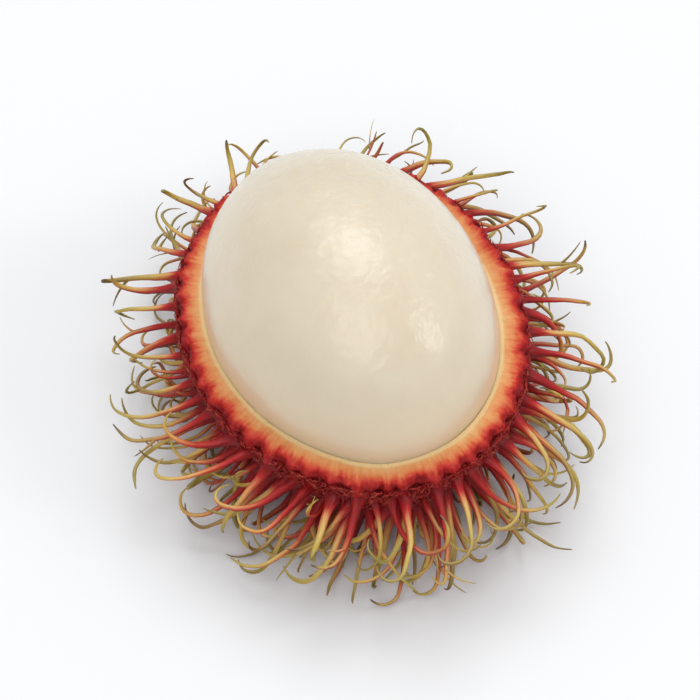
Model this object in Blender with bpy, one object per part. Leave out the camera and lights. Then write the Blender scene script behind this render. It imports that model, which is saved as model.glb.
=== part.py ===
"""Opened rambutan: the spiny lower half of the rind, cut lengthwise, with the whole flesh sitting in it.

Frame: metres, +Z up, +Y along the fruit's long axis. The origin is the middle of the small flat spot
that the rind rests on.
"""

import math
import random

import bmesh
import bpy
import numpy as np
from mathutils import Matrix, Vector

MM = 0.001

# Flesh and rind, as half-lengths across and along the fruit
FLESH_ACROSS = 15.1 * MM
FLESH_ALONG = 19.8 * MM
FLESH_GAP = 0.3 * MM
WALL = 2.7 * MM
RIND_ACROSS = FLESH_ACROSS + FLESH_GAP + WALL
RIND_ALONG = FLESH_ALONG + FLESH_GAP + WALL

# How the fruit lies
SPOT_DEPTH = 0.8 * MM
LEAN = math.radians(4.2)
LEAN_TOWARDS = math.radians(152.0)
CENTRE = Vector((0.0, 0.0, RIND_ACROSS - SPOT_DEPTH))
LYING = Matrix.Rotation(LEAN, 3, Vector((-math.sin(LEAN_TOWARDS), math.cos(LEAN_TOWARDS), 0.0)))
UPRIGHT = LYING.transposed()

# The cut round the rind
CUT_HEIGHT = -0.8 * MM
CUT_WAVES = ((2, 0.30 * MM, 0.6), (5, 0.16 * MM, 1.9), (9, 0.09 * MM, 4.0))
CUT_EDGE = 0.45 * MM

# Spines
SEED = 35
RIM_SPINES = 46
RIM_ROW_WIDTH = 1.2 * MM
SPIRAL_POINTS = 590
SPIRAL_BELOW_CUT = 5.0 * MM
ROOT_JITTER = 0.035
ROOT_BELOW_CUT = 2.4 * MM
ROOT_ABOVE_TABLE = 1.7 * MM
ROOT_SUNK = 1.0 * MM
SPINE_LENGTH = 12.6 * MM
SPINE_LENGTH_SPREAD = 2.2 * MM
SPINE_MID_RADIUS = 0.60 * MM
SPINE_TIP_RADIUS = 0.22 * MM
SPINE_FLARE = 0.66 * MM
FLARE_LENGTH = 1.3 * MM
SWING = 0.75
CLOCKWISE_SHARE = 0.8
ROOT_SWEEP = 0.18
BACK_DROOP = 0.75
BACK = Vector((math.cos(math.radians(72.0)), math.sin(math.radians(72.0)), 0.0))
ROOT_LEAN = 0.18
CURL_LEAST = math.radians(60.0)
CURL_MOST = math.radians(205.0)
CURL_SOONEST = 1.4
CURL_LATEST = 3.4
CURL_TWIST = math.radians(30.0)
TABLE_CLEARANCE = 0.35 * MM
RIND_CLEARANCE = 0.9 * MM
SPINE_SPACING = 1.0 * MM
SPINE_RISE = 1.2 * MM
SPINE_TRIES = 30
PATH_STEPS = 20
SPINE_RINGS = (0.07, 0.33, 0.6, 0.82)
SPINE_SIDES = 3

# Finishes
RIND_COLOUR = (0.52, 0.035, 0.03)
RIND_ROUGHNESS = 0.45
FLESH_COLOUR = (0.78, 0.71, 0.58)
FLESH_ROUGHNESS = 0.22

# Facets
ROUND_SEGMENTS = 40
OUTER_RINGS = 8
INNER_RINGS = 6
FLESH_RINGS = 16


def remove_startup_objects():
    for item in list(bpy.data.objects):
        bpy.data.objects.remove(item, do_unlink=True)


def material(name, colour, roughness):
    result = bpy.data.materials.new(name)
    result.use_nodes = True
    shader = result.node_tree.nodes["Principled BSDF"]
    shader.inputs["Base Color"].default_value = (*colour, 1.0)
    shader.inputs["Roughness"].default_value = roughness
    shader.inputs["Metallic"].default_value = 0.0
    return result


def new_object(name, shape, finish, group):
    mesh = bpy.data.meshes.new(name)
    shape.to_mesh(mesh)
    shape.free()
    mesh.materials.append(finish)
    mesh.shade_smooth()
    item = bpy.data.objects.new(name, mesh)
    group.objects.link(item)
    return item


def place(local):
    """A point of the upright fruit, with its centre at the origin, to where it lies."""
    return CENTRE + LYING @ local


def on_ellipsoid(across, along, turn, rise):
    """A point at angle turn round the vertical and rise above the middle."""
    level = math.cos(rise)
    x = across * level * math.cos(turn)
    y = along * level * math.sin(turn)
    return Vector((x, y, across * math.sin(rise)))


def cut_height(turn):
    return CUT_HEIGHT + sum(size * math.sin(count * turn + start) for count, size, start in CUT_WAVES)


def ring_to_cut(across, along, part, drop):
    """A level ring of a half ellipsoid, part of the way from its lowest point up to the cut less drop."""
    points = []
    for i in range(ROUND_SEGMENTS):
        turn = math.tau * i / ROUND_SEGMENTS
        top = math.asin((cut_height(turn) - drop) / across)
        rise = -math.pi / 2 + part * (top + math.pi / 2)
        points.append(on_ellipsoid(across, along, turn, rise))
    return points


def cut_ring(inwards, drop):
    """A ring on the cut face, inwards from the rind's outer surface and drop below the cut's height."""
    points = []
    for i in range(ROUND_SEGMENTS):
        turn = math.tau * i / ROUND_SEGMENTS
        height = cut_height(turn) - drop
        rise = math.asin(height / RIND_ACROSS)
        point = on_ellipsoid(RIND_ACROSS - inwards, RIND_ALONG - inwards, turn, rise)
        points.append(Vector((point.x, point.y, height)))
    return points


def skin(rings, bottom, top):
    """A closed mesh through a stack of rings, with a pole point at each end."""
    shape = bmesh.new()
    rows = [[shape.verts.new(place(point)) for point in ring] for ring in rings]
    first = shape.verts.new(place(bottom))
    last = shape.verts.new(place(top))
    for low, high in zip(rows, rows[1:]):
        for i in range(ROUND_SEGMENTS):
            j = (i + 1) % ROUND_SEGMENTS
            shape.faces.new((low[i], low[j], high[j], high[i]))
    for i in range(ROUND_SEGMENTS):
        j = (i + 1) % ROUND_SEGMENTS
        shape.faces.new((first, rows[0][j], rows[0][i]))
        shape.faces.new((last, rows[-1][i], rows[-1][j]))
    return shape


def rind_cup():
    """The cup of rind, cut flat where it rests."""
    inner_across = RIND_ACROSS - WALL
    inner_along = RIND_ALONG - WALL
    rings = [
        ring_to_cut(RIND_ACROSS, RIND_ALONG, (i + 1) / OUTER_RINGS, CUT_EDGE) for i in range(OUTER_RINGS)
    ]
    rings.append(cut_ring(CUT_EDGE, 0.0))
    rings.append(cut_ring(WALL - CUT_EDGE, 0.0))
    for i in range(INNER_RINGS):
        rings.append(ring_to_cut(inner_across, inner_along, 1.0 - i / INNER_RINGS, CUT_EDGE))
    shape = skin(rings, Vector((0.0, 0.0, -RIND_ACROSS)), Vector((0.0, 0.0, -inner_across)))
    parts = shape.verts[:] + shape.edges[:] + shape.faces[:]
    cut = bmesh.ops.bisect_plane(
        shape, geom=parts, plane_co=(0, 0, 0), plane_no=(0, 0, 1), clear_inner=True
    )
    edges = [part for part in cut["geom_cut"] if isinstance(part, bmesh.types.BMEdge)]
    bmesh.ops.contextual_create(shape, geom=edges)
    bmesh.ops.recalc_face_normals(shape, faces=shape.faces)
    return shape


def rim_roots(draw):
    """A row of roots all round, just under the cut."""
    roots = []
    for i in range(RIM_SPINES):
        turn = math.tau * (i + draw.uniform(-0.25, 0.25)) / RIM_SPINES
        height = cut_height(turn) - ROOT_BELOW_CUT - draw.uniform(0.0, RIM_ROW_WIDTH)
        roots.append(on_ellipsoid(RIND_ACROSS, RIND_ALONG, turn, math.asin(height / RIND_ACROSS)))
    return roots


def spiral_roots(draw):
    """Points of an even spiral round the long axis, below the rim's row and clear of the table."""
    golden = math.pi * (3.0 - math.sqrt(5.0))
    roots = []
    for i in range(SPIRAL_POINTS):
        along = 1.0 - 2.0 * (i + 0.5) / SPIRAL_POINTS
        level = math.sqrt(1.0 - along * along)
        unit = Vector((level * math.cos(golden * i), along, level * math.sin(golden * i)))
        unit += Vector((draw.gauss(0, ROOT_JITTER), draw.gauss(0, ROOT_JITTER), draw.gauss(0, ROOT_JITTER)))
        unit.normalize()
        local = Vector((unit.x * RIND_ACROSS, unit.y * RIND_ALONG, unit.z * RIND_ACROSS))
        if local.z < CUT_HEIGHT - SPIRAL_BELOW_CUT and place(local).z > ROOT_ABOVE_TABLE:
            roots.append(local)
    return roots


def outward(local):
    """The rind's outward direction at a point, in the frame that it lies in."""
    slope = Vector((local.x / RIND_ACROSS**2, local.y / RIND_ALONG**2, local.z / RIND_ACROSS**2))
    return (LYING @ slope).normalized()


def clear_of_rind(point):
    """The point, moved out if it is closer to the rind or the flesh than a spine may come."""
    local = UPRIGHT @ (point - CENTRE)
    across = RIND_ACROSS + RIND_CLEARANCE
    along = RIND_ALONG + RIND_CLEARANCE
    reach = math.sqrt((local.x / across) ** 2 + (local.y / along) ** 2 + (local.z / across) ** 2)
    return point if reach >= 1.0 else place(local / reach)


def spine_radius(part, length):
    """Thin at the tip, and flared where the spine meets the rind."""
    taper = SPINE_MID_RADIUS + (SPINE_TIP_RADIUS - SPINE_MID_RADIUS) * part
    return taper + SPINE_FLARE * math.exp(-part * length / FLARE_LENGTH)


def spine_path(root, draw):
    """A spine's middle line: straight out of the rind, then curling over, and never through the table."""
    normal = outward(root)
    clockwise = normal.cross(Vector((0, 0, 1))).normalized()
    downhill = normal.cross(clockwise)
    swing = draw.gauss(0.0, SWING)
    side = 1.0 if draw.random() < CLOCKWISE_SHARE else -1.0
    towards = clockwise * math.cos(swing) * side + downhill * math.sin(swing)
    droop = BACK_DROOP * max(normal.dot(BACK), 0.0) ** 2
    lean = clockwise * draw.gauss(ROOT_SWEEP, ROOT_LEAN) + downhill * draw.gauss(droop, ROOT_LEAN)
    heading = (normal + lean).normalized()
    axis = heading.cross(towards).normalized()
    curl = draw.uniform(CURL_LEAST, CURL_MOST)
    power = draw.uniform(CURL_SOONEST, CURL_LATEST)
    twist = draw.gauss(0.0, CURL_TWIST)
    length = SPINE_LENGTH + draw.uniform(-SPINE_LENGTH_SPREAD, SPINE_LENGTH_SPREAD)
    step = length / PATH_STEPS
    points = [place(root)]
    for i in range(PATH_STEPS):
        bend = curl * (((i + 1) / PATH_STEPS) ** power - (i / PATH_STEPS) ** power)
        axis.rotate(Matrix.Rotation(twist / PATH_STEPS, 3, heading))
        heading.rotate(Matrix.Rotation(bend, 3, axis))
        point = points[-1] + heading * step
        if i > 1:
            point = clear_of_rind(point)
        lowest = TABLE_CLEARANCE + spine_radius((i + 1) / PATH_STEPS, length)
        if point.z < lowest:
            point.z = lowest
        heading = (point - points[-1]).normalized()
        points.append(points[-1] + heading * step)
    return points, length


def room(points, taken):
    """How near a spine's free part comes to any other spine, or nothing if it stands too high."""
    if max((UPRIGHT @ (point - CENTRE)).z for point in points) > SPINE_RISE:
        return 0.0
    free = np.array(points[PATH_STEPS // 3 :])
    return np.linalg.norm(free[:, None] - taken[None], axis=2).min()


def clear_path(root, draw, taken):
    """A spine's middle line and length. One that would pass through another is drawn again."""
    others = np.concatenate(taken)
    best = None
    for _ in range(SPINE_TRIES):
        points, length = spine_path(root, draw)
        gap = room(points, others)
        if best is None or gap > best[0]:
            best = (gap, points, length)
        if gap > SPINE_SPACING:
            break
    taken.append(np.array(best[1][2:]))
    return best[1:]


def spine_paths():
    draw = random.Random(SEED)
    taken = [np.array([CENTRE])]
    return [clear_path(root, draw, taken) for root in rim_roots(draw) + spiral_roots(draw)]


def point_along(points, part):
    at = part * (len(points) - 1)
    i = min(int(at), len(points) - 2)
    return points[i].lerp(points[i + 1], at - i)


def spine(points, length):
    """A closed three-sided spine from below the rind's surface to its tip."""
    shape = bmesh.new()
    first = (points[1] - points[0]).normalized()
    centres = [points[0] - first * ROOT_SUNK]
    radii = [spine_radius(0.0, length)]
    for part in SPINE_RINGS:
        centres.append(point_along(points, part))
        radii.append(spine_radius(part, length))
    side = first.orthogonal().normalized()
    rings = []
    for i, centre in enumerate(centres):
        after = centres[i + 1] if i + 1 < len(centres) else points[-1]
        heading = (after - centres[max(i - 1, 0)]).normalized()
        side = (side - heading * side.dot(heading)).normalized()
        other = heading.cross(side)
        ring = []
        for k in range(SPINE_SIDES):
            turn = math.tau * k / SPINE_SIDES
            offset = side * math.cos(turn) + other * math.sin(turn)
            ring.append(shape.verts.new(centre + offset * radii[i]))
        rings.append(ring)
    for low, high in zip(rings, rings[1:]):
        for k in range(SPINE_SIDES):
            j = (k + 1) % SPINE_SIDES
            shape.faces.new((low[k], low[j], high[j], high[k]))
    tip = shape.verts.new(points[-1])
    for k in range(SPINE_SIDES):
        shape.faces.new((rings[-1][k], rings[-1][(k + 1) % SPINE_SIDES], tip))
    shape.faces.new(tuple(reversed(rings[0])))
    bmesh.ops.triangulate(shape, faces=shape.faces)
    return shape


def join_spines(cup, finish):
    """Fuses every spine to the cup with one Boolean union."""
    group = bpy.data.collections.new("spines")
    bpy.context.scene.collection.children.link(group)
    for number, (points, length) in enumerate(spine_paths()):
        new_object(f"spine_{number:03d}", spine(points, length), finish, group)
    fuse = cup.modifiers.new("fuse", "BOOLEAN")
    fuse.operation = "UNION"
    fuse.operand_type = "COLLECTION"
    fuse.collection = group
    fuse.solver = "MANIFOLD"
    view = bpy.context.evaluated_depsgraph_get()
    joined = bpy.data.meshes.new_from_object(cup.evaluated_get(view))
    cup.modifiers.clear()
    cup.data = joined
    for item in list(group.objects):
        bpy.data.objects.remove(item, do_unlink=True)
    bpy.data.collections.remove(group)


def flesh():
    """The whole flesh, a smooth egg that sits in the cup."""
    rings = []
    for i in range(1, FLESH_RINGS):
        rise = -math.pi / 2 + math.pi * i / FLESH_RINGS
        turns = [math.tau * k / ROUND_SEGMENTS for k in range(ROUND_SEGMENTS)]
        rings.append([on_ellipsoid(FLESH_ACROSS, FLESH_ALONG, turn, rise) for turn in turns])
    return skin(rings, Vector((0.0, 0.0, -FLESH_ACROSS)), Vector((0.0, 0.0, FLESH_ACROSS)))


def main():
    remove_startup_objects()
    fruit = bpy.context.scene.collection
    rind_finish = material("rind", RIND_COLOUR, RIND_ROUGHNESS)
    flesh_finish = material("flesh", FLESH_COLOUR, FLESH_ROUGHNESS)
    cup = new_object("rind", rind_cup(), rind_finish, fruit)
    join_spines(cup, rind_finish)
    new_object("flesh", flesh(), flesh_finish, fruit)


main()
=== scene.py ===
"""The looks of an opened rambutan: the spiny lower half of its rind, with the whole flesh sitting in it.

The shapes follow the CAD part: the spines are drawn by the same rule from the same seed, and every length
is in metres in the part's own frame.
"""

import math
import random

import bpy
import numpy as np
from mathutils import Matrix, Vector, noise


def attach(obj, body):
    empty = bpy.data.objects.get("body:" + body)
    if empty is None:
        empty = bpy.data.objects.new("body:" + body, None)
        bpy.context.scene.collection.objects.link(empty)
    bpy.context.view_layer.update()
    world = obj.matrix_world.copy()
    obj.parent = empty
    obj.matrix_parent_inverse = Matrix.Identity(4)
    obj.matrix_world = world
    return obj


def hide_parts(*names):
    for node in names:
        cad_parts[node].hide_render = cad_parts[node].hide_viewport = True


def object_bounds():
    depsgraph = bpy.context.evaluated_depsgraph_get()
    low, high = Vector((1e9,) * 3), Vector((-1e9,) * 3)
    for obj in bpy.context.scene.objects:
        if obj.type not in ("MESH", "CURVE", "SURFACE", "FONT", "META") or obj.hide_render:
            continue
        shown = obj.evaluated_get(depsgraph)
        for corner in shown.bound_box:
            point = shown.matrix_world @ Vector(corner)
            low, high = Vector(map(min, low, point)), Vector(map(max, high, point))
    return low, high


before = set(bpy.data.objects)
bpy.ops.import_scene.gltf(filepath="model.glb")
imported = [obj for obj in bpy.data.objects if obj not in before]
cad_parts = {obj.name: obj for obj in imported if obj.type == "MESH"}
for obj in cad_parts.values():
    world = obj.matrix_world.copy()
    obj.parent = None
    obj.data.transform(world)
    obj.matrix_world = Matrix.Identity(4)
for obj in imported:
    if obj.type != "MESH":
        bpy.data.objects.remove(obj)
CAD_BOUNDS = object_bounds()

MM = 0.001

# Flesh and rind, as half-lengths across and along the fruit
FLESH_ACROSS = 15.1 * MM
FLESH_ALONG = 19.8 * MM
FLESH_GAP = 0.3 * MM
WALL = 2.7 * MM
RIND_ACROSS = FLESH_ACROSS + FLESH_GAP + WALL
RIND_ALONG = FLESH_ALONG + FLESH_GAP + WALL

# How the fruit lies
SPOT_DEPTH = 0.8 * MM
LEAN = math.radians(4.2)
LEAN_TOWARDS = math.radians(152.0)
CENTRE = Vector((0.0, 0.0, RIND_ACROSS - SPOT_DEPTH))
LYING = Matrix.Rotation(LEAN, 3, Vector((-math.sin(LEAN_TOWARDS), math.cos(LEAN_TOWARDS), 0.0)))
UPRIGHT = LYING.transposed()

# The cut round the rind
CUT_HEIGHT = -0.8 * MM
CUT_WAVES = ((2, 0.30 * MM, 0.6), (5, 0.16 * MM, 1.9), (9, 0.09 * MM, 4.0))
CUT_EDGE = 0.45 * MM

# Spines
SEED = 35
RIM_SPINES = 46
RIM_ROW_WIDTH = 1.2 * MM
SPIRAL_POINTS = 590
SPIRAL_BELOW_CUT = 5.0 * MM
ROOT_JITTER = 0.035
ROOT_BELOW_CUT = 2.4 * MM
ROOT_ABOVE_TABLE = 1.7 * MM
ROOT_SUNK = 1.0 * MM
SPINE_LENGTH = 12.6 * MM
SPINE_LENGTH_SPREAD = 2.2 * MM
SPINE_MID_RADIUS = 0.60 * MM
SPINE_TIP_RADIUS = 0.22 * MM
SPINE_FLARE = 0.66 * MM
FLARE_LENGTH = 1.3 * MM
SWING = 0.75
CLOCKWISE_SHARE = 0.8
ROOT_SWEEP = 0.18
BACK_DROOP = 0.75
BACK = Vector((math.cos(math.radians(72.0)), math.sin(math.radians(72.0)), 0.0))
ROOT_LEAN = 0.18
CURL_LEAST = math.radians(60.0)
CURL_MOST = math.radians(205.0)
CURL_SOONEST = 1.4
CURL_LATEST = 3.4
CURL_TWIST = math.radians(30.0)
TABLE_CLEARANCE = 0.35 * MM
RIND_CLEARANCE = 0.9 * MM
SPINE_SPACING = 1.0 * MM
SPINE_RISE = 1.2 * MM
SPINE_TRIES = 30
PATH_STEPS = 20

# Thinner spines that fill the gaps
FILL_DARTS = 3200
FILL_GAP = 1.75 * MM
FILL_GAP_LESS = 0.6 * MM
FILL_SHRINK = (0.62, 0.95)
FILL_THICKNESS = (0.66, 0.92)
FILL_TRIES = 8
FILL_DROOP = 0.0

# Fuzz on the skin
FUZZ = 8200
FUZZ_LENGTH = (0.6 * MM, 1.7 * MM)
FUZZ_RADIUS = 0.11 * MM
FUZZ_DEPTH = 8.0 * MM
FUZZ_CROWDING = 1.6
FUZZ_ON_EDGE = 0.7 * MM
FUZZ_NEAR_EDGE = 2.0 * MM
FUZZ_LIFT = 0.2 * MM
FUZZ_RISE = (0.05, 0.5)
FUZZ_TILT = 0.8
FUZZ_BEND = (-2.0, -0.5)
FUZZ_ROOT_SHARE = 1.3
FUZZ_TAPER = 0.9
FUZZ_ALONG = 0.14
FUZZ_ALONG_RISE = 0.18
FUZZ_TONE = (0.3, 0.65)
FUZZ_SIDES = 3
FUZZ_STEPS = 4

# Fine spines
ROUNDNESS = 0.75
FLATNESS = 0.72
ROOT_FLATNESS = 0.9
THICKNESS = (0.70, 1.02)
WAVER = 0.14
WAVERS = 7.0
FINE_SIDES = 10
FILL_SIDES = 7
FINE_RINGS = (0.0, 0.012, 0.03, 0.055, 0.09, 0.14, 0.2, 0.27, 0.34, 0.41, 0.48, 0.55, 0.61, 0.67, 0.72,
              0.76, 0.79, 0.82, 0.85, 0.88, 0.91, 0.935, 0.96, 0.985)
FILL_RINGS = (0.0, 0.03, 0.08, 0.15, 0.24, 0.33, 0.42, 0.51, 0.59, 0.66, 0.72, 0.77, 0.82, 0.86, 0.9,
              0.94, 0.98)
SUNK_SHARE = 0.6
SKIRT = 0.25 * MM
SKIRT_LENGTH = 0.5 * MM
TIP_STARTS = 0.78
TIP_THINNING = 0.62
HOOK_STARTS = 0.74
HOOK_MOST = math.radians(85.0)
SMOOTHING = 3
WOBBLE = 0.3 * MM
WOBBLE_SIZE = 3.0 * MM
ROOT_PART = 0.3
ROOT_TUCK = 0.2 * MM
ROOT_SLOPE = 0.9
STREAK_TURN = 2.2
STREAK_LENGTH = 2.5 * MM
STREAK_STARTS = (0, 100)

# Side branches of the fine spines
FORK_SHARE = 0.12
FORK_PART = (0.45, 0.68)
FORK_AHEAD = 0.05
FORK_ANGLE = (0.45, 0.8)
FORK_LENGTH = 3.6 * MM
FORK_STRETCH = (0.7, 1.2)
FORK_BEND = (-0.5, 1.0)
FORK_THICKNESS = 0.8
FORK_TAPER = 0.75
FORK_STEPS = 8

# Fine skin
TURNS = 560
OUTER_ROWS = 90
ROWS_UPWARDS = 0.16
CUT_ROWS = 16
INNER_ROWS = 12
FLESH_SEAM = 0.01 * MM
CUT_WIDTH = WALL + FLESH_GAP - FLESH_SEAM
MOUND = 0.5 * MM
MOUND_SUNK = 0.25 * MM
MOUND_WIDTH = 1.35 * MM
FURROW = 0.16 * MM
FURROW_WIDTH = 0.35 * MM
LUMP = 0.2 * MM
LUMP_SIZE = 1.0 * MM
TONGUE_ROOTS = 4.2 * MM
TONGUE_WIDTH = 0.75 * MM
TONGUE_LIFT = 0.45 * MM
TONGUE_TINT = 0.6
EDGE_ROUND = 1.0 * MM
EDGE_DROP = 0.75 * MM
INNER_LIP = 0.12 * MM
STREAKS_ROUND = 48.0
STREAKS_IN = 1.8

# The torn cut: heights of its ragged form and of its fibres, and how much more there is at its outer edge
RAGGED = 0.12 * MM
RAGGED_TORN = 0.3 * MM
RAGGED_SIZE = 1.2 * MM
FIBRES = 0.06 * MM
FIBRES_TORN = 0.3 * MM
FIBRES_OUT = 0.35 * MM
FIBRE_SIZE = 0.5 * MM

# Fine flesh
FLESH_TURNS = 240
FLESH_ROWS = 120
DENT = 0.1 * MM
DENT_SIZE = 9.0 * MM
WRINKLE = 0.02 * MM
WRINKLE_SIZE = 1.8 * MM
WRINKLES_FULL = 10.0 * MM

# Colours as display values from 0 to 255, with their places on the ramps
FLESH_COLOURS = ((0.30, (226, 211, 186)), (0.70, (234, 222, 200)))
# Painted warm light, as if bounced off the rind, for the lower flesh
FLESH_PAINTED_BOUNCE_COLOUR = (238, 212, 168)
CUT_COLOURS = (
    (0.00, (126, 8, 10)),
    (0.16, (172, 24, 22)),
    (0.28, (198, 52, 38)),
    (0.39, (212, 92, 56)),
    (0.52, (222, 136, 82)),
    (0.74, (230, 168, 108)),
    (1.00, (238, 200, 144)),
)
LINING_COLOUR = (244, 210, 154)
SKIN_COLOURS = (
    (0.20, (80, 5, 8)),
    (0.38, (138, 12, 16)),
    (0.56, (182, 30, 28)),
    (0.74, (210, 64, 44)),
    (0.92, (230, 124, 72)),
)
CRIMSON = (176, 20, 54)
SKIN_SPECK_COLOUR = (52, 20, 14)
SPINE_COLOURS = (
    (0.00, (128, 6, 12)),
    (0.14, (166, 18, 22)),
    (0.28, (190, 42, 36)),
    (0.42, (204, 88, 56)),
    (0.54, (216, 138, 74)),
    (0.68, (214, 176, 86)),
    (0.86, (188, 166, 66)),
    (1.00, (150, 132, 54)),
)
DRIED_COLOUR = (58, 40, 26)
SPINE_SPECK_COLOUR = (70, 30, 16)
WORN_COLOUR = (126, 70, 48)
# Painted shade for the spines' undersides
PAINTED_UNDERSIDE_SHADE = (96, 22, 16)
# Painted highlight for the spines' upper sides
PAINTED_HIGHLIGHT_COLOUR = (240, 216, 150)
FLOOR_COLOURS = ((244, 244, 245), (250, 250, 250))

# Floor
FLOOR_HALF = 1.5
FLOOR_DROP = 0.02 * MM

# Studio: each light's azimuth and elevation in degrees, distance, size, power and colour
LIGHTS = {
    "overhead": (155.0, 64.0, 0.75, 0.46, 2.3, (0.95, 0.98, 1.0)),
    "window": (55.0, 36.0, 0.8, 0.26, 1.0, (1.0, 1.0, 1.0)),
    "front": (-45.0, 62.0, 0.8, 0.6, 2.05, (1.0, 0.985, 0.965)),
}
SKY_COLOUR = (0.94, 0.97, 1.0, 1.0)
SKY_STRENGTH = 0.43

# Camera
CAMERA_AZIMUTH = -25.3
CAMERA_ELEVATION = 55.7
CAMERA_DISTANCE = 0.435
CAMERA_TARGET = Vector((0.0, 0.0, 0.010))
SENSOR_WIDTH = 36.0
LENS = 205.0
CLIP_START = 0.01


def place(local):
    """A point of the upright fruit, with its centre at the origin, to where it lies."""
    return CENTRE + LYING @ local


def on_ellipsoid(across, along, turn, rise):
    """A point at angle turn round the vertical and rise above the middle."""
    level = math.cos(rise)
    return Vector((across * level * math.cos(turn), along * level * math.sin(turn), across * math.sin(rise)))


def cut_height(turn):
    return CUT_HEIGHT + sum(size * math.sin(count * turn + start) for count, size, start in CUT_WAVES)


def rim_roots(draw):
    """A row of roots all round, just under the cut."""
    roots = []
    for i in range(RIM_SPINES):
        turn = math.tau * (i + draw.uniform(-0.25, 0.25)) / RIM_SPINES
        height = cut_height(turn) - ROOT_BELOW_CUT - draw.uniform(0.0, RIM_ROW_WIDTH)
        roots.append(on_ellipsoid(RIND_ACROSS, RIND_ALONG, turn, math.asin(height / RIND_ACROSS)))
    return roots


def spiral_roots(draw):
    """Points of an even spiral round the long axis, below the rim's row and clear of the table."""
    golden = math.pi * (3.0 - math.sqrt(5.0))
    roots = []
    for i in range(SPIRAL_POINTS):
        along = 1.0 - 2.0 * (i + 0.5) / SPIRAL_POINTS
        level = math.sqrt(1.0 - along * along)
        unit = Vector((level * math.cos(golden * i), along, level * math.sin(golden * i)))
        unit += Vector((draw.gauss(0, ROOT_JITTER), draw.gauss(0, ROOT_JITTER), draw.gauss(0, ROOT_JITTER)))
        unit.normalize()
        local = Vector((unit.x * RIND_ACROSS, unit.y * RIND_ALONG, unit.z * RIND_ACROSS))
        if local.z < CUT_HEIGHT - SPIRAL_BELOW_CUT and place(local).z > ROOT_ABOVE_TABLE:
            roots.append(local)
    return roots


def outward(local):
    """The rind's outward direction at a point, in the frame that it lies in."""
    slope = Vector((local.x / RIND_ACROSS**2, local.y / RIND_ALONG**2, local.z / RIND_ACROSS**2))
    return (LYING @ slope).normalized()


def clear_of_rind(point):
    """The point, moved out if it is closer to the rind or the flesh than a spine may come."""
    local = UPRIGHT @ (point - CENTRE)
    across = RIND_ACROSS + RIND_CLEARANCE
    along = RIND_ALONG + RIND_CLEARANCE
    reach = math.sqrt((local.x / across) ** 2 + (local.y / along) ** 2 + (local.z / across) ** 2)
    return point if reach >= 1.0 else place(local / reach)


def spine_radius(part, length):
    """Thin at the tip, and flared where the spine meets the rind."""
    taper = SPINE_MID_RADIUS + (SPINE_TIP_RADIUS - SPINE_MID_RADIUS) * part
    return taper + SPINE_FLARE * math.exp(-part * length / FLARE_LENGTH)


def spine_path(root, draw, shrink=1.0, droop_share=1.0):
    """A spine's middle line: straight out of the rind, then curling over, and never through the table."""
    normal = outward(root)
    clockwise = normal.cross(Vector((0, 0, 1))).normalized()
    downhill = normal.cross(clockwise)
    swing = draw.gauss(0.0, SWING)
    side = 1.0 if draw.random() < CLOCKWISE_SHARE else -1.0
    towards = clockwise * math.cos(swing) * side + downhill * math.sin(swing)
    droop = droop_share * BACK_DROOP * max(normal.dot(BACK), 0.0) ** 2
    lean = clockwise * draw.gauss(ROOT_SWEEP, ROOT_LEAN) + downhill * draw.gauss(droop, ROOT_LEAN)
    heading = (normal + lean).normalized()
    axis = heading.cross(towards).normalized()
    curl = draw.uniform(CURL_LEAST, CURL_MOST)
    power = draw.uniform(CURL_SOONEST, CURL_LATEST)
    twist = draw.gauss(0.0, CURL_TWIST)
    length = (SPINE_LENGTH + draw.uniform(-SPINE_LENGTH_SPREAD, SPINE_LENGTH_SPREAD)) * shrink
    step = length / PATH_STEPS
    points = [place(root)]
    for i in range(PATH_STEPS):
        bend = curl * (((i + 1) / PATH_STEPS) ** power - (i / PATH_STEPS) ** power)
        axis.rotate(Matrix.Rotation(twist / PATH_STEPS, 3, heading))
        heading.rotate(Matrix.Rotation(bend, 3, axis))
        point = points[-1] + heading * step
        if i > 1:
            point = clear_of_rind(point)
        lowest = TABLE_CLEARANCE + spine_radius((i + 1) / PATH_STEPS, length)
        if point.z < lowest:
            point.z = lowest
        heading = (point - points[-1]).normalized()
        points.append(points[-1] + heading * step)
    return points, length


def room(points, taken):
    """How near a spine's free part comes to any other spine, or nothing if it stands too high."""
    if max((UPRIGHT @ (point - CENTRE)).z for point in points) > SPINE_RISE:
        return 0.0
    free = np.array(points[PATH_STEPS // 3 :])
    return np.linalg.norm(free[:, None] - taken[None], axis=2).min()


def clear_path(root, draw, taken, tries, shrink=1.0, droop_share=1.0):
    """A spine's middle line and length. One that would pass through another is drawn again."""
    others = np.concatenate(taken)
    best = None
    for _ in range(tries):
        points, length = spine_path(root, draw, shrink, droop_share)
        gap = room(points, others)
        if best is None or gap > best[0]:
            best = (gap, points, length)
        if gap > SPINE_SPACING:
            break
    taken.append(np.array(best[1][2:]))
    return best[1:]


def spine_paths():
    """The CAD part's spines."""
    draw = random.Random(SEED)
    taken = [np.array([CENTRE])]
    return [clear_path(root, draw, taken, SPINE_TRIES) for root in rim_roots(draw) + spiral_roots(draw)]


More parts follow.
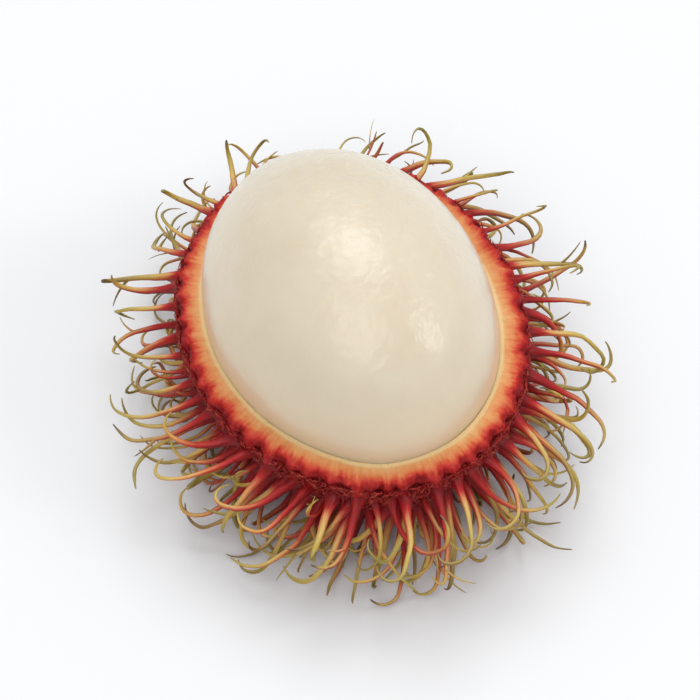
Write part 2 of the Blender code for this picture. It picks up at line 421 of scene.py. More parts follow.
def fill_paths(paths):
    """Thinner spines between those of the part, each with its share of the full thickness."""
    draw = random.Random(SEED + 2)
    roots = [UPRIGHT @ (points[0] - CENTRE) for points, _ in paths]
    taken = [np.array(points[2:]) for points, _ in paths]
    fills = []
    for _ in range(FILL_DARTS):
        turn = draw.uniform(0.0, math.tau)
        rise = math.asin(draw.uniform(-1.0, (cut_height(turn) - ROOT_BELOW_CUT) / RIND_ACROSS))
        root = on_ellipsoid(RIND_ACROSS, RIND_ALONG, turn, rise)
        shrink = draw.uniform(*FILL_SHRINK)
        gap = FILL_GAP - FILL_GAP_LESS * max(outward(root).dot(BACK), 0.0)
        if place(root).z < ROOT_ABOVE_TABLE or min((root - other).length for other in roots) < gap:
            continue
        roots.append(root)
        points, length = clear_path(root, draw, taken, FILL_TRIES, shrink, FILL_DROOP)
        fills.append((points, length, shrink * draw.uniform(*FILL_THICKNESS)))
    return fills


def smoothed(points):
    """The points with their small kinks evened out."""
    for _ in range(SMOOTHING):
        middle = [(a + 2 * b + c) / 4 for a, b, c in zip(points, points[1:], points[2:])]
        points = [points[0], *middle, points[-1]]
    return points


def point_along(points, part):
    """A point part of the way along a smooth curve through the points."""
    last = len(points) - 1
    i = min(int(part * last), last - 1)
    t = part * last - i
    before, start, end, after = (points[max(min(k, last), 0)] for k in (i - 1, i, i + 1, i + 2))
    bend = (2 * before - 5 * start + 4 * end - after) * t * t + (3 * (start - end) + after - before) * t**3
    return start + ((end - before) * t + bend) / 2


def linear(colour):
    """A colour given as 0 to 255 display values, as the shader's linear values."""
    scaled = [c / 255.0 for c in colour]
    return tuple(c / 12.92 if c <= 0.04045 else ((c + 0.055) / 1.055) ** 2.4 for c in scaled) + (1.0,)


class Shader:
    """Builds one material's nodes."""

    def __init__(self, name):
        self.material = bpy.data.materials.new(name)
        self.material.use_nodes = True
        self.tree = self.material.node_tree
        self.principled = self.tree.nodes["Principled BSDF"]

    def node(self, kind, **settings):
        """A new node, with its own settings."""
        made = self.tree.nodes.new(kind)
        for key, value in settings.items():
            setattr(made, key, value)
        return made

    def link(self, source, target):
        self.tree.links.new(source, target)

    def feed(self, target, value):
        """Links an output to the target, or sets a constant on it."""
        if hasattr(value, "is_output"):
            self.link(value, target)
        else:
            target.default_value = value

    def attribute(self, name, output="Fac"):
        return self.node("ShaderNodeAttribute", attribute_name=name).outputs[output]

    def position(self):
        return self.node("ShaderNodeTexCoord").outputs["Object"]

    def noise(self, vector, scale, detail=3.0, roughness=0.55, distortion=0.0):
        made = self.node("ShaderNodeTexNoise")
        self.feed(made.inputs["Vector"], vector)
        made.inputs["Scale"].default_value = scale
        made.inputs["Detail"].default_value = detail
        made.inputs["Roughness"].default_value = roughness
        made.inputs["Distortion"].default_value = distortion
        return made.outputs["Fac"]

    def math(self, operation, first, second=0.0, third=0.0):
        made = self.node("ShaderNodeMath", operation=operation)
        for target, value in zip(made.inputs, (first, second, third)):
            self.feed(target, value)
        return made.outputs[0]

    def vary(self, base, value, amount, middle=0.5):
        """The base, with more or less added as the value is above or below its middle."""
        return self.math("MULTIPLY_ADD", self.math("SUBTRACT", value, middle), amount, base)

    def span(self, value, low, high, to_low=0.0, to_high=1.0):
        """The value's span from low to high, smoothly, as to_low to to_high."""
        made = self.node("ShaderNodeMapRange", interpolation_type="SMOOTHSTEP")
        for target, item in zip(made.inputs, (value, low, high, to_low, to_high)):
            self.feed(target, item)
        return made.outputs[0]

    def ramp(self, value, stops):
        """The colour at the value, between stops that each have a position and a display colour."""
        made = self.node("ShaderNodeValToRGB")
        self.feed(made.inputs["Fac"], value)
        points = made.color_ramp.elements
        while len(points) < len(stops):
            points.new(1.0)
        for point, (position, colour) in zip(points, stops):
            point.position = position
            point.color = linear(colour)
        return made.outputs["Color"]

    def mix(self, share, first, second, blend="MIX"):
        """The first colour, with a share of the second blended over it."""
        made = self.node("ShaderNodeMix", data_type="RGBA", blend_type=blend)
        self.feed(made.inputs[0], share)
        self.feed(made.inputs[6], first)
        self.feed(made.inputs[7], second)
        return made.outputs[2]

    def bump(self, height, distance, strength=1.0, normal=None):
        made = self.node("ShaderNodeBump")
        self.feed(made.inputs["Strength"], strength)
        made.inputs["Distance"].default_value = distance
        self.feed(made.inputs["Height"], height)
        if normal is not None:
            self.link(normal, made.inputs["Normal"])
        return made.outputs["Normal"]

    def finish(self, colour, roughness, normal, **constants):
        """The material, with the rest of the shader's inputs set by name."""
        self.feed(self.principled.inputs["Base Color"], colour)
        self.feed(self.principled.inputs["Roughness"], roughness)
        self.link(normal, self.principled.inputs["Normal"])
        for name, value in constants.items():
            self.principled.inputs[name.replace("_", " ")].default_value = value
        return self.material


def flesh_material():
    """Moist, milky flesh: light goes in and comes out, over fine wrinkles, with painted warm bounce light low
    down.
    """
    s = Shader("flesh_looks")
    at = s.position()
    cloud = s.noise(at, 90.0, 4.0)
    veins = s.noise(at, 420.0, 5.0, 0.6)
    colour = s.ramp(s.math("MULTIPLY_ADD", veins, 0.25, s.math("MULTIPLY", cloud, 0.75)), FLESH_COLOURS)
    apart = s.node("ShaderNodeSeparateXYZ")
    s.link(at, apart.inputs[0])
    # Painted warm bounce light: the flesh turns warmer towards the rim
    low = s.span(apart.outputs["Z"], 16.0 * MM, 27.0 * MM, 0.55, 0.0)
    colour = s.mix(low, colour, linear(FLESH_PAINTED_BOUNCE_COLOUR))
    high = s.span(apart.outputs["Z"], 22.0 * MM, 30.0 * MM, 0.1, 1.0)
    across = s.node("ShaderNodeVectorMath", operation="MULTIPLY")
    s.link(at, across.inputs[0])
    across.inputs[1].default_value = (0.85, 1.2, 0.85)
    wrinkles = s.noise(across.outputs[0], 680.0, 2.0, 0.5, 0.8)
    ripples = s.noise(at, 260.0, 2.0, 0.5, 0.5)
    normal = s.bump(ripples, 0.5 * MM, 0.25)
    s.link(s.bump(wrinkles, 0.24 * MM, high, normal), s.principled.inputs["Coat Normal"])
    roughness = s.span(veins, 0.3, 0.7, 0.3, 0.42)
    return s.finish(colour, roughness, normal, Subsurface_Weight=0.8, Subsurface_Scale=3.0 * MM,
                    Subsurface_Radius=(1.0, 0.82, 0.62), IOR=1.38, Coat_Weight=0.65, Coat_Roughness=0.24)


def skin_material():
    """Rind: cream inside, a cut that runs from cream-yellow to red, and a mottled red outside."""
    s = Shader("rind_skin_looks")
    at = s.position()
    fibre = s.attribute("fibre", "Vector")
    streaks = s.noise(fibre, 1.0, 2.0, 0.5)
    patches = s.noise(at, 230.0, 4.0, 0.65)
    inwards = s.attribute("inwards")
    shift = s.vary(inwards, streaks, 0.34)
    shift = s.vary(shift, patches, 0.62)
    mound = s.attribute("mound")
    shift = s.vary(shift, mound, 0.35, 0.15)
    cut = s.ramp(shift, CUT_COLOURS)
    lining = s.span(s.vary(inwards, patches, 0.12), 0.78, 0.92)
    cut = s.mix(lining, cut, linear(LINING_COLOUR))
    mottle = s.math("MULTIPLY_ADD", s.noise(at, 620.0, 5.0, 0.65), 0.75, s.math("MULTIPLY", mound, 0.28))
    outside = s.ramp(mottle, SKIN_COLOURS)
    crimson = s.span(s.noise(at, 260.0, 2.0), 0.48, 0.66)
    outside = s.mix(s.math("MULTIPLY", crimson, 0.4), outside, linear(CRIMSON))
    is_cut = s.span(s.vary(inwards, patches, 0.5), -0.10, 0.16)
    colour = s.mix(is_cut, outside, cut)
    specks = s.span(s.noise(at, 1300.0, 3.0, 0.6, 0.8), 0.70, 0.77)
    colour = s.mix(s.math("MULTIPLY", specks, 0.75), colour, linear(SKIN_SPECK_COLOUR))
    grain = s.noise(at, 1500.0, 5.0, 0.65)
    lumps = s.noise(at, 520.0, 3.0, 0.6)
    normal = s.bump(streaks, 0.18 * MM, 0.6)
    normal = s.bump(lumps, 0.35 * MM, 0.6, normal)
    normal = s.bump(grain, 0.12 * MM, 0.7, normal)
    roughness = s.span(grain, 0.3, 0.7, 0.40, 0.58)
    return s.finish(colour, roughness, normal, Subsurface_Weight=0.22, Subsurface_Scale=0.8 * MM,
                    Subsurface_Radius=(1.0, 0.35, 0.2), Specular_IOR_Level=0.25)


def spine_material():
    """Spines: crimson at the root, then orange and yellow-green, with dried brown tips; painted light makes
    their upper sides yellower and paler and their undersides darker.
    """
    s = Shader("rind_spine_looks")
    at = s.position()
    fibre = s.attribute("fibre", "Vector")
    streaks = s.noise(fibre, 1.0, 3.0, 0.6)
    along = s.attribute("along")
    tone = s.attribute("tone")
    age = s.attribute("age")
    lit = s.attribute("lit")
    shift = s.vary(along, streaks, 0.42)
    free = s.span(along, 0.04, 0.26)
    shift = s.math("MULTIPLY_ADD", s.math("MULTIPLY", s.math("SUBTRACT", tone, 0.6), free), 0.56, shift)
    # Painted light: the upper side of each spine is shifted towards the yellow end of the ramp
    shift = s.math("MULTIPLY_ADD", s.math("MULTIPLY", lit, free), 0.24, shift)
    colour = s.ramp(shift, SPINE_COLOURS)
    dried = s.vary(along, age, 0.4, 0.75)
    dried = s.vary(dried, s.noise(at, 500.0), 0.2)
    colour = s.mix(s.span(dried, 0.88, 1.0), colour, linear(DRIED_COLOUR))
    specks = s.span(s.noise(at, 1300.0, 3.0, 0.6, 0.8), 0.66, 0.74)
    colour = s.mix(s.math("MULTIPLY", specks, 0.7), colour, linear(SPINE_SPECK_COLOUR))
    worn = s.math("MULTIPLY", s.span(age, 0.6, 1.0, 0.0, 0.6), s.span(along, 0.25, 0.65))
    colour = s.mix(worn, colour, linear(WORN_COLOUR))
    # Painted shade: the spines' undersides are darkened
    under = s.span(lit, -0.9, 0.3, 0.75, 0.0)
    colour = s.mix(under, colour, linear(PAINTED_UNDERSIDE_SHADE), "MULTIPLY")
    # Painted highlight: a pale cream on the upper sides
    pale = s.math("MULTIPLY", s.span(lit, 0.5, 1.0, 0.0, 0.35), s.span(shift, 0.25, 0.6))
    colour = s.mix(pale, colour, linear(PAINTED_HIGHLIGHT_COLOUR))
    normal = s.bump(streaks, 0.2 * MM, 0.7)
    roughness = s.span(streaks, 0.3, 0.7, 0.36, 0.5)
    return s.finish(colour, roughness, normal, Subsurface_Weight=0.1, Subsurface_Scale=0.5 * MM,
                    Subsurface_Radius=(1.0, 0.5, 0.25), Specular_IOR_Level=0.35)


def floor_material():
    """Plain, matt and nearly white."""
    s = Shader("floor_looks")
    tint = s.noise(s.position(), 3.0, 2.0)
    colour = s.mix(tint, *(linear(colour) for colour in FLOOR_COLOURS))
    return s.finish(colour, 0.7, s.bump(tint, 0.01 * MM, 0.1))


def add_piece(name, points, faces, finish, values, node):
    """A piece of the visual model that stands for a CAD node, with values at its points for its colours."""
    mesh = bpy.data.meshes.new(name)
    mesh.from_pydata(points, [], faces)
    for key, data in values.items():
        data = np.asarray(data, np.float32)
        kind = "FLOAT_VECTOR" if data.ndim == 2 else "FLOAT"
        made = mesh.attributes.new(key, kind, "POINT")
        made.data.foreach_set("vector" if data.ndim == 2 else "value", data.ravel())
    mesh.materials.append(finish)
    mesh.shade_smooth()
    item = bpy.data.objects.new(name, mesh)
    bpy.context.scene.collection.objects.link(item)
    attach(item, "root")
    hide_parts(node)
    return item


def lay(local):
    """place() for an array of points."""
    return local @ np.array(LYING).T + np.array(CENTRE)


def grid_faces(rows, columns, first):
    """Quads between rows of a grid that closes on itself round the columns, from point number first."""
    faces = []
    for i in range(rows - 1):
        low = first + i * columns
        for k in range(columns):
            j = (k + 1) % columns
            faces.append((low + k, low + j, low + columns + j, low + columns + k))
    return faces


def closed_faces(rows, columns):
    """Faces of a grid whose first and last points are poles."""
    faces = grid_faces(rows, columns, 1)
    last = 1 + rows * columns
    top = last - columns
    for k in range(columns):
        j = (k + 1) % columns
        faces.append((0, 1 + j, 1 + k))
        faces.append((last, top + k, top + j))
    return faces


def noise_at(points, size, octaves=3):
    """Soft noise from -1 to 1 at each point, with features of a given size."""
    return np.array([noise.fractal(Vector(p) / size, 1.0, 2.0, octaves) for p in points])


def cut_heights(turns):
    """cut_height() for an array of turns."""
    return CUT_HEIGHT + sum(size * np.sin(count * turns + start) for count, size, start in CUT_WAVES)


def ellipsoid_rows(across, along, turns, rises):
    """Points of an ellipsoid for arrays of turns and of rises, shaped rows by turns."""
    turns, rises = np.broadcast_arrays(turns, rises)
    level = np.cos(rises)
    return np.stack([across * level * np.cos(turns), along * level * np.sin(turns),
                     across * np.sin(rises)], axis=-1)


def skin_rows(turns):
    """The outside's rows from the bottom up to the cut, and how far below the cut each row is."""
    top = np.arcsin((cut_heights(turns) - EDGE_DROP) / RIND_ACROSS)
    parts = (np.arange(OUTER_ROWS) + 1.0)[:, None] / OUTER_ROWS
    parts = parts + ROWS_UPWARDS * np.sin(math.pi * parts)
    rises = -math.pi / 2 + parts * (top + math.pi / 2)
    return ellipsoid_rows(RIND_ACROSS, RIND_ALONG, turns, rises), (1.0 - parts) * (math.pi / 2) * RIND_ACROSS


def outward_rows(rows):
    """The outward direction at each point of the outside."""
    normals = rows / np.array([RIND_ACROSS**2, RIND_ALONG**2, RIND_ACROSS**2])
    return normals / np.linalg.norm(normals, axis=-1, keepdims=True)


def mounds_and_furrows(rows, roots):
    """How much each point of the outside is part of a root's mound, and of the furrow between two mounds."""
    spots = np.array([list(root) for root in roots])
    reach = np.empty(rows.shape[:2])
    border = np.empty(rows.shape[:2])
    for i, row in enumerate(rows):
        gaps = np.sort(np.linalg.norm(row[:, None] - spots[None], axis=2), axis=1)
        reach[i] = gaps[:, 0]
        border[i] = gaps[:, 1] - gaps[:, 0]
    return np.exp(-((reach / MOUND_WIDTH) ** 2)), np.exp(-((border / FURROW_WIDTH) ** 2))


def tongues(edge, roots):
    """How much each point of the cut's outer edge is over one of the roots just below it."""
    upper = np.array([[root.x, root.y] for root in roots if root.z > CUT_HEIGHT - TONGUE_ROOTS])
    aside = np.linalg.norm(edge[:, None, :2] - upper[None], axis=2).min(axis=1)
    return np.exp(-((aside / TONGUE_WIDTH) ** 2))


def cut_rows(turns, part, normals, lift):
    """The cut's rows, each part of the way inwards: scalloped and torn outside, with a lip at the flesh.

    The normals and the lift are those of the outside's top row.
    """
    inwards = CUT_WIDTH * part
    outer_share = np.clip(1.0 - inwards / EDGE_ROUND, 0.0, 1.0)
    inner_share = np.clip(1.0 - (CUT_WIDTH - inwards) / CUT_EDGE, 0.0, 1.0)
    heights = cut_heights(turns) - (EDGE_DROP * outer_share**2 - INNER_LIP * inner_share**2)
    level = np.cos(np.arcsin(heights / RIND_ACROSS))
    rows = np.stack([(RIND_ACROSS - inwards) * level * np.cos(turns),
                     (RIND_ALONG - inwards) * level * np.sin(turns), heights], axis=-1)
    rows += normals * (lift * outer_share)[..., None]
    ragged = noise_at(rows.reshape(-1, 3), RAGGED_SIZE).reshape(heights.shape)
    fibres = noise_at(rows.reshape(-1, 3), FIBRE_SIZE, 2).reshape(heights.shape)
    torn = (1.0 - part) ** 2
    rows[..., 2] += (RAGGED + RAGGED_TORN * torn) * ragged + (FIBRES + FIBRES_TORN * torn) * fibres
    rows += normals * (FIBRES_OUT * torn * fibres)[..., None]
    return rows


def lining_rows(turns):
    """The inside's rows from the cut down, just clear of the flesh."""
    across = FLESH_ACROSS + FLESH_SEAM
    top = np.arcsin((cut_heights(turns) + INNER_LIP) / across)
    parts = (1.0 - np.arange(INNER_ROWS) / INNER_ROWS)[:, None]
    return ellipsoid_rows(across, FLESH_ALONG + FLESH_SEAM, turns, -math.pi / 2 + parts * (top + math.pi / 2))


def skin_values(turns, depth, swell):
    """What the skin's colours follow: the depth into the cut, the mounds, and where the streaks run."""
    fibre = np.stack([
        np.broadcast_to(STREAKS_ROUND * np.cos(turns), depth.shape),
        np.broadcast_to(STREAKS_ROUND * np.sin(turns), depth.shape),
        depth * STREAKS_IN,
    ], axis=-1)
    return {
        "inwards": np.concatenate([[depth[0, 0]], depth.ravel(), [1.0]]),
        "mound": np.concatenate([[0.0], swell.ravel(), [0.0]]),
        "fibre": np.concatenate([[fibre[0, 0]], fibre.reshape(-1, 3), [fibre[-1, 0]]]),
    }


def skin_piece(roots, finish):
    """The cup of rind: a mound under each spine, furrows between them and a torn, fibrous cut."""
    turns = np.arange(TURNS) * math.tau / TURNS
    outer, below = skin_rows(turns)
    normals = outward_rows(outer)
    mound, furrow = mounds_and_furrows(outer, roots)
    tongue = tongues(outer[-1], roots)
    tongue_rows = np.clip(1.0 - below / TONGUE_ROOTS, 0.0, 1.0) * tongue
    lump = noise_at(outer.reshape(-1, 3), LUMP_SIZE).reshape(mound.shape)
    lift = MOUND * mound - MOUND_SUNK - FURROW * furrow + LUMP * lump + TONGUE_LIFT * tongue_rows
    outer = outer + normals * lift[..., None]

    part = ((np.arange(CUT_ROWS) + 0.5) / CUT_ROWS)[:, None]
    cut = cut_rows(turns, part, normals[-1], lift[-1])
    lining = lining_rows(turns)
    rows = np.concatenate([outer, cut, lining])
    outer_pole = [[0.0, 0.0, -RIND_ACROSS]]
    inner_pole = [[0.0, 0.0, -FLESH_ACROSS - FLESH_SEAM]]
    world = lay(np.concatenate([outer_pole, rows.reshape(-1, 3), inner_pole]))
    world[:, 2] = np.maximum(world[:, 2], 0.0)

    flat = np.ones(TURNS)
    depth = np.concatenate([-below / WALL * flat, part * flat, np.ones(lining.shape[:2])])
    swell = np.concatenate([np.maximum(mound, TONGUE_TINT * tongue_rows), TONGUE_TINT * tongue * (1.0 - part),
                            np.zeros(lining.shape[:2])])
    return add_piece("rind_skin", world.tolist(), closed_faces(len(rows), TURNS), finish,
                     skin_values(turns, depth, swell), "rind")


class Tubes:
    """One mesh of many tapering tubes, with the values that their colours follow."""

    def __init__(self, sides):
        self.sides = sides
        self.points = []
        self.faces = []
        self.values = {"along": [], "lit": [], "fibre": [], "tone": [], "age": []}

    def add_point(self, point, **values):
        """One point, with a value for each of its colours' inputs."""
        self.points.append(tuple(point))
        for key, value in values.items():
            self.values[key].append(value)

    def add(self, centres, tip, radii, alongs, flats, tone, age, spread, side):
        """A tube through the centres, closed at its start and brought to a point at the tip.

        The last of the alongs is the tip's. The flats are each ring's height as a share of its width, spread
        is where its streaks start, and side is the direction that its rings start from.
        """
        first = len(self.points)
        run = 0.0
        for i, centre in enumerate(centres):
            after = centres[i + 1] if i + 1 < len(centres) else tip
            heading = (after - centres[max(i - 1, 0)]).normalized()
            side = (side - heading * side.dot(heading)).normalized()
            other = heading.cross(side)
            wide = radii[i] * 2.0 / (1.0 + flats[i])
            if i > 0:
                run += (centre - centres[i - 1]).length
            for k in range(self.sides):
                turn = math.tau * k / self.sides
                x = math.cos(turn)
                y = math.sin(turn)
                offset = side * x * wide + other * y * wide * flats[i]
                point = centre + offset
                if alongs[i] < ROOT_PART:
                    point = below_cut(point)
                streak = (spread + STREAK_TURN * x, STREAK_TURN * y, run / STREAK_LENGTH)
                # lit is how far each point faces up, for the spines' painted highlight and painted underside
                # shade
                self.add_point(point, along=alongs[i], lit=offset.normalized().z, tone=tone, age=age,
                               fibre=streak)
        streak = (spread, 0.0, run / STREAK_LENGTH)
        self.add_point(tip, along=alongs[-1], lit=0.0, tone=tone, age=age, fibre=streak)
        self.faces += grid_faces(len(centres), self.sides, first)
        last = first + len(centres) * self.sides
        for k in range(self.sides):
            j = (k + 1) % self.sides
            self.faces.append((last - self.sides + k, last - self.sides + j, last))
        self.faces.append(tuple(range(first + self.sides - 1, first - 1, -1)))


def below_cut(point):
    """The point, moved down if it would stand up out of the rounded edge of the cut."""
    local = UPRIGHT @ (point - CENTRE)
    x = local.x / RIND_ACROSS
    y = local.y / RIND_ALONG
    out = (math.sqrt(x * x + y * y + (local.z / RIND_ACROSS) ** 2) - 1.0) * RIND_ACROSS
    limit = cut_height(math.atan2(y, x)) - EDGE_DROP - ROOT_TUCK + ROOT_SLOPE * max(out, 0.0)
    if local.z <= limit:
        return point
    return place(Vector((local.x, local.y, limit)))


def fine_radius(part, length):
    """The CAD spine's radius, rounded, with a finer tip and a skirt that meets the skin."""
    late = max(part - TIP_STARTS, 0.0) / (1.0 - TIP_STARTS)
    radius = ROUNDNESS * spine_radius(part, length) * (1.0 - TIP_THINNING * late * late)
    return radius + SKIRT * math.exp(-part * length / SKIRT_LENGTH)


def wobbly(point, part, spread):
    """The point, moved a little from the smooth line, more towards the tip."""
    sway = noise.noise_vector(point / WOBBLE_SIZE + Vector((spread, 0, 0)))
    moved = point + sway * WOBBLE * min(1.0, 2.0 * part)
    moved.z = max(moved.z, TABLE_CLEARANCE + SPINE_TIP_RADIUS)
    return moved


def hooked(points, curl):
    """The points, with the end of the path curling on more tightly by an angle."""
    start = int(HOOK_STARTS * (len(points) - 1))
    axis = (points[start] - points[start - 3]).cross(points[-1] - points[start])
    turn = Matrix.Identity(3)
    made = points[: start + 1]
    for before, after in zip(points[start:], points[start + 1 :]):
        turn = Matrix.Rotation(curl / (len(points) - 1 - start), 3, axis) @ turn
        made.append(made[-1] + turn @ (after - before))
    return made


def wavering(part, spread):
    """A spine's thickness part of the way along, as a share of what it would be if it tapered evenly."""
    return 1.0 + WAVER * noise.noise(Vector((spread, part * WAVERS, 0)))


def add_spine(tubes, points, length, thickness, rings, draw):
    """A fine spine: hooked at its tip, flattened, wavering, and now and then with a side branch."""
    points = hooked(smoothed(points), HOOK_MOST * draw.random())
    first = (points[1] - points[0]).normalized()
    spread = draw.uniform(*STREAK_STARTS)
    tone = draw.random()
    age = draw.random()
    centres = [points[0] - first * ROOT_SUNK * SUNK_SHARE]
    centres += [wobbly(point_along(points, part), part, spread) for part in rings]
    parts = [0.0, *rings]
    radii = [thickness * fine_radius(part, length) * wavering(part, spread) for part in parts]
    flats = [FLATNESS + (ROOT_FLATNESS - FLATNESS) * math.exp(-part * length / FLARE_LENGTH)
             for part in parts]
    side = first.orthogonal().normalized()
    side.rotate(Matrix.Rotation(draw.uniform(0, math.tau), 3, first))
    tip = wobbly(points[-1], 1.0, spread)
    tubes.add(centres, tip, radii, [*parts, 1.0], flats, tone, age, spread, side)
    if draw.random() < FORK_SHARE:
        add_fork(tubes, points, length, thickness, tone, age, draw)


def add_fork(tubes, points, length, thickness, tone, age, draw):
    """A short side branch that leaves a spine past its middle."""
    part = draw.uniform(*FORK_PART)
    start = point_along(points, part)
    heading = (point_along(points, part + FORK_AHEAD) - start).normalized()
    axis = heading.orthogonal().normalized()
    axis.rotate(Matrix.Rotation(draw.uniform(0, math.tau), 3, heading))
    heading.rotate(Matrix.Rotation(draw.uniform(*FORK_ANGLE), 3, axis))
    reach = FORK_LENGTH * draw.uniform(*FORK_STRETCH)
    bend = draw.uniform(*FORK_BEND) / FORK_STEPS
    centres = [start]
    for _ in range(FORK_STEPS):
        heading.rotate(Matrix.Rotation(bend, 3, axis))
        point = clear_of_rind(centres[-1] + heading * reach / FORK_STEPS)
        point.z = max(point.z, TABLE_CLEARANCE + SPINE_TIP_RADIUS)
        centres.append(point)
    thick = FORK_THICKNESS * thickness * ROUNDNESS * spine_radius(part, length)
    radii = [thick * (1.0 - FORK_TAPER * i / FORK_STEPS) for i in range(FORK_STEPS)]
    alongs = [part + (1.0 - part) * i / FORK_STEPS for i in range(FORK_STEPS + 1)]
    spread = draw.uniform(*STREAK_STARTS)
    tubes.add(centres[:-1], centres[-1], radii, alongs, [FLATNESS] * FORK_STEPS, tone, age, spread, axis)


def spines_piece(paths, finish):
    """The CAD part's spines, finer."""
    draw = random.Random(SEED + 1)
    tubes = Tubes(FINE_SIDES)
    for points, length in paths:
        add_spine(tubes, points, length, draw.uniform(*THICKNESS), FINE_RINGS, draw)
    return add_piece("rind_spines", tubes.points, tubes.faces, finish, tubes.values, "rind")


def fill_piece(fills, finish):
    """The thinner spines between them."""
    draw = random.Random(SEED + 3)
    tubes = Tubes(FILL_SIDES)
    for points, length, thickness in fills:
        add_spine(tubes, points, length, thickness, FILL_RINGS, draw)
    return add_piece("rind_fill_spines", tubes.points, tubes.faces, finish, tubes.values, "rind")


def fuzz_root(draw):
    """A point of the upright fruit's skin or of its cut's rounded edge, the way out there, and its depth."""
    turn = draw.uniform(0.0, math.tau)
    below = FUZZ_DEPTH * draw.random() ** FUZZ_CROWDING - FUZZ_ON_EDGE
    inwards = max(-below, 0.0)
    height = cut_height(turn) - EDGE_DROP * (1.0 - inwards / EDGE_ROUND) ** 2 - max(below, 0.0)
    root = on_ellipsoid(RIND_ACROSS - inwards, RIND_ALONG - inwards, turn, math.asin(height / RIND_ACROSS))
    root.z = height
    return root, (outward(root) + Vector((0.0, 0.0, inwards / EDGE_ROUND))).normalized(), below


def fuzz_piece(finish):
    """Short, fine fibres that lie about on the skin, most of them near the cut."""
    draw = random.Random(SEED + 4)
    tubes = Tubes(FUZZ_SIDES)
    for _ in range(FUZZ):
        root, normal, below = fuzz_root(draw)
        level = normal.orthogonal().normalized()
        level.rotate(Matrix.Rotation(draw.uniform(0, math.tau), 3, normal))
        heading = (level + normal * draw.uniform(*FUZZ_RISE)).normalized()
        if below < FUZZ_NEAR_EDGE:
            heading.z = -abs(heading.z)
        axis = heading.cross(normal).normalized()
        axis.rotate(Matrix.Rotation(draw.gauss(0.0, FUZZ_TILT), 3, heading))
        step = draw.uniform(*FUZZ_LENGTH) / FUZZ_STEPS
        bend = draw.uniform(*FUZZ_BEND) / FUZZ_STEPS
        centres = [place(root) + normal * draw.uniform(-FUZZ_LIFT, FUZZ_LIFT)]
        for _ in range(FUZZ_STEPS):
            centres.append(centres[-1] + heading * step)
            heading.rotate(Matrix.Rotation(bend, 3, axis))
        radii = [FUZZ_RADIUS * (FUZZ_ROOT_SHARE - FUZZ_TAPER * i / FUZZ_STEPS) for i in range(FUZZ_STEPS)]
        alongs = [FUZZ_ALONG + FUZZ_ALONG_RISE * i / FUZZ_STEPS for i in range(FUZZ_STEPS + 1)]
        tone = draw.uniform(*FUZZ_TONE)
        spread = draw.uniform(*STREAK_STARTS)
        tubes.add(centres[:-1], centres[-1], radii, alongs, [1.0] * FUZZ_STEPS, tone, 0.0, spread, axis)
    # The fuzz's lit is kept at zero or above, so it gets little painted underside shade
    tubes.values["lit"] = [max(lit, 0.0) for lit in tubes.values["lit"]]
    return add_piece("rind_fuzz", tubes.points, tubes.faces, finish, tubes.values, "rind")


def flesh_piece(finish):
    """The flesh: a smooth egg with faint dents and wrinkles."""
    turns = np.arange(FLESH_TURNS) * math.tau / FLESH_TURNS
    rises = (-math.pi / 2 + math.pi * np.arange(1, FLESH_ROWS) / FLESH_ROWS)[:, None]
    rows = ellipsoid_rows(FLESH_ACROSS, FLESH_ALONG, turns, rises)
    local = np.concatenate([[[0, 0, -FLESH_ACROSS]], rows.reshape(-1, 3), [[0, 0, FLESH_ACROSS]]])
    dents = noise_at(local, DENT_SIZE, 2)
    wrinkles = noise_at(local, WRINKLE_SIZE, 2)
    wrinkles *= np.clip(local[:, 2] / WRINKLES_FULL, 0.0, 1.0)
    local *= (1.0 + (DENT * dents + WRINKLE * wrinkles) / FLESH_ACROSS)[:, None]
    faces = closed_faces(FLESH_ROWS - 1, FLESH_TURNS)
    return add_piece("flesh_body", lay(local).tolist(), faces, finish, {}, "flesh")


def add_floor():
    """A wide, pale floor, just below the spot that the fruit rests on."""
    mesh = bpy.data.meshes.new("floor")
    corners = [(FLOOR_HALF * x, FLOOR_HALF * y, 0) for x, y in ((-1, -1), (1, -1), (1, 1), (-1, 1))]
    mesh.from_pydata(corners, [], [(0, 1, 2, 3)])
    mesh.materials.append(floor_material())
    floor = bpy.data.objects.new("floor", mesh)
    floor.location.z = -FLOOR_DROP
    bpy.context.scene.collection.objects.link(floor)


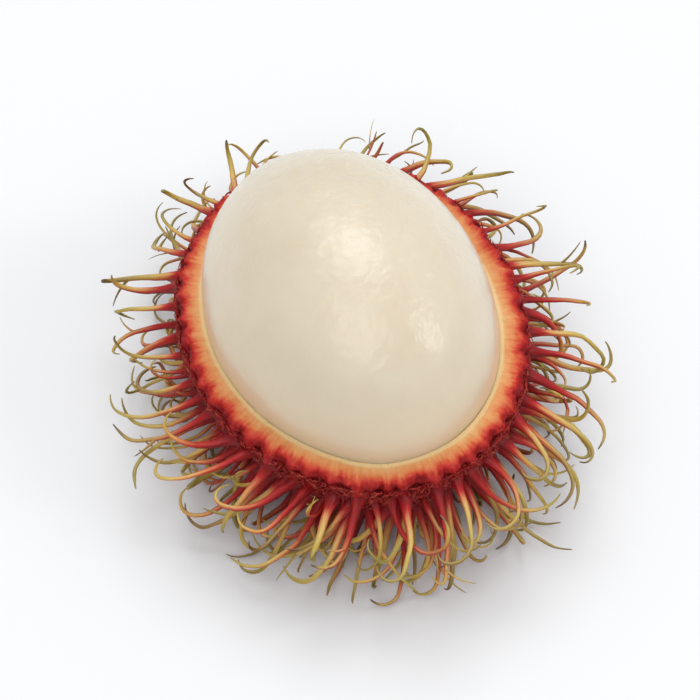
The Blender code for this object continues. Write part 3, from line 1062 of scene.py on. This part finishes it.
def aim(item, target):
    """Turns a camera or a light to the target."""
    item.rotation_euler = (target - item.location).to_track_quat("-Z", "Y").to_euler()


def around(azimuth, elevation, distance, target):
    """A place seen from the target at an azimuth and elevation in degrees; azimuth 0 is at -Y."""
    a = math.radians(azimuth)
    e = math.radians(elevation)
    return target + distance * Vector((math.sin(a) * math.cos(e), -math.cos(a) * math.cos(e), math.sin(e)))


def add_light(name, azimuth, elevation, distance, size, power, colour, target):
    """A round, soft light."""
    light = bpy.data.lights.new(name, "AREA")
    light.shape = "DISK"
    light.size = size
    light.energy = power
    light.color = colour
    item = bpy.data.objects.new(name, light)
    item.location = around(azimuth, elevation, distance, target)
    aim(item, target)
    bpy.context.scene.collection.objects.link(item)


def add_studio():
    """The lights, round the middle of the part, and a pale sky."""
    low, high = (Vector(corner) for corner in CAD_BOUNDS)
    for name, settings in LIGHTS.items():
        add_light(name, *settings, (low + high) / 2)
    world = bpy.data.worlds.new("studio")
    world.use_nodes = True
    background = world.node_tree.nodes["Background"]
    background.inputs["Color"].default_value = SKY_COLOUR
    background.inputs["Strength"].default_value = SKY_STRENGTH
    bpy.context.scene.world = world


def add_camera():
    """A long lens, from well above the table."""
    camera = bpy.data.cameras.new("camera")
    camera.sensor_width = SENSOR_WIDTH
    camera.lens = LENS
    camera.clip_start = CLIP_START
    item = bpy.data.objects.new("camera", camera)
    item.location = around(CAMERA_AZIMUTH, CAMERA_ELEVATION, CAMERA_DISTANCE, CAMERA_TARGET)
    aim(item, CAMERA_TARGET)
    bpy.context.scene.collection.objects.link(item)
    bpy.context.scene.camera = item


def main():
    # noise_vector() has another offset in each run unless it is seeded
    noise.seed_set(SEED)
    bpy.context.scene.view_settings.view_transform = "Standard"
    add_camera()
    add_studio()
    add_floor()
    paths = spine_paths()
    fills = fill_paths(paths)
    roots = [UPRIGHT @ (path[0][0] - CENTRE) for path in paths + fills]
    finish = spine_material()
    skin_piece(roots, skin_material())
    spines_piece(paths, finish)
    fill_piece(fills, finish)
    fuzz_piece(finish)
    flesh_piece(flesh_material())


main()
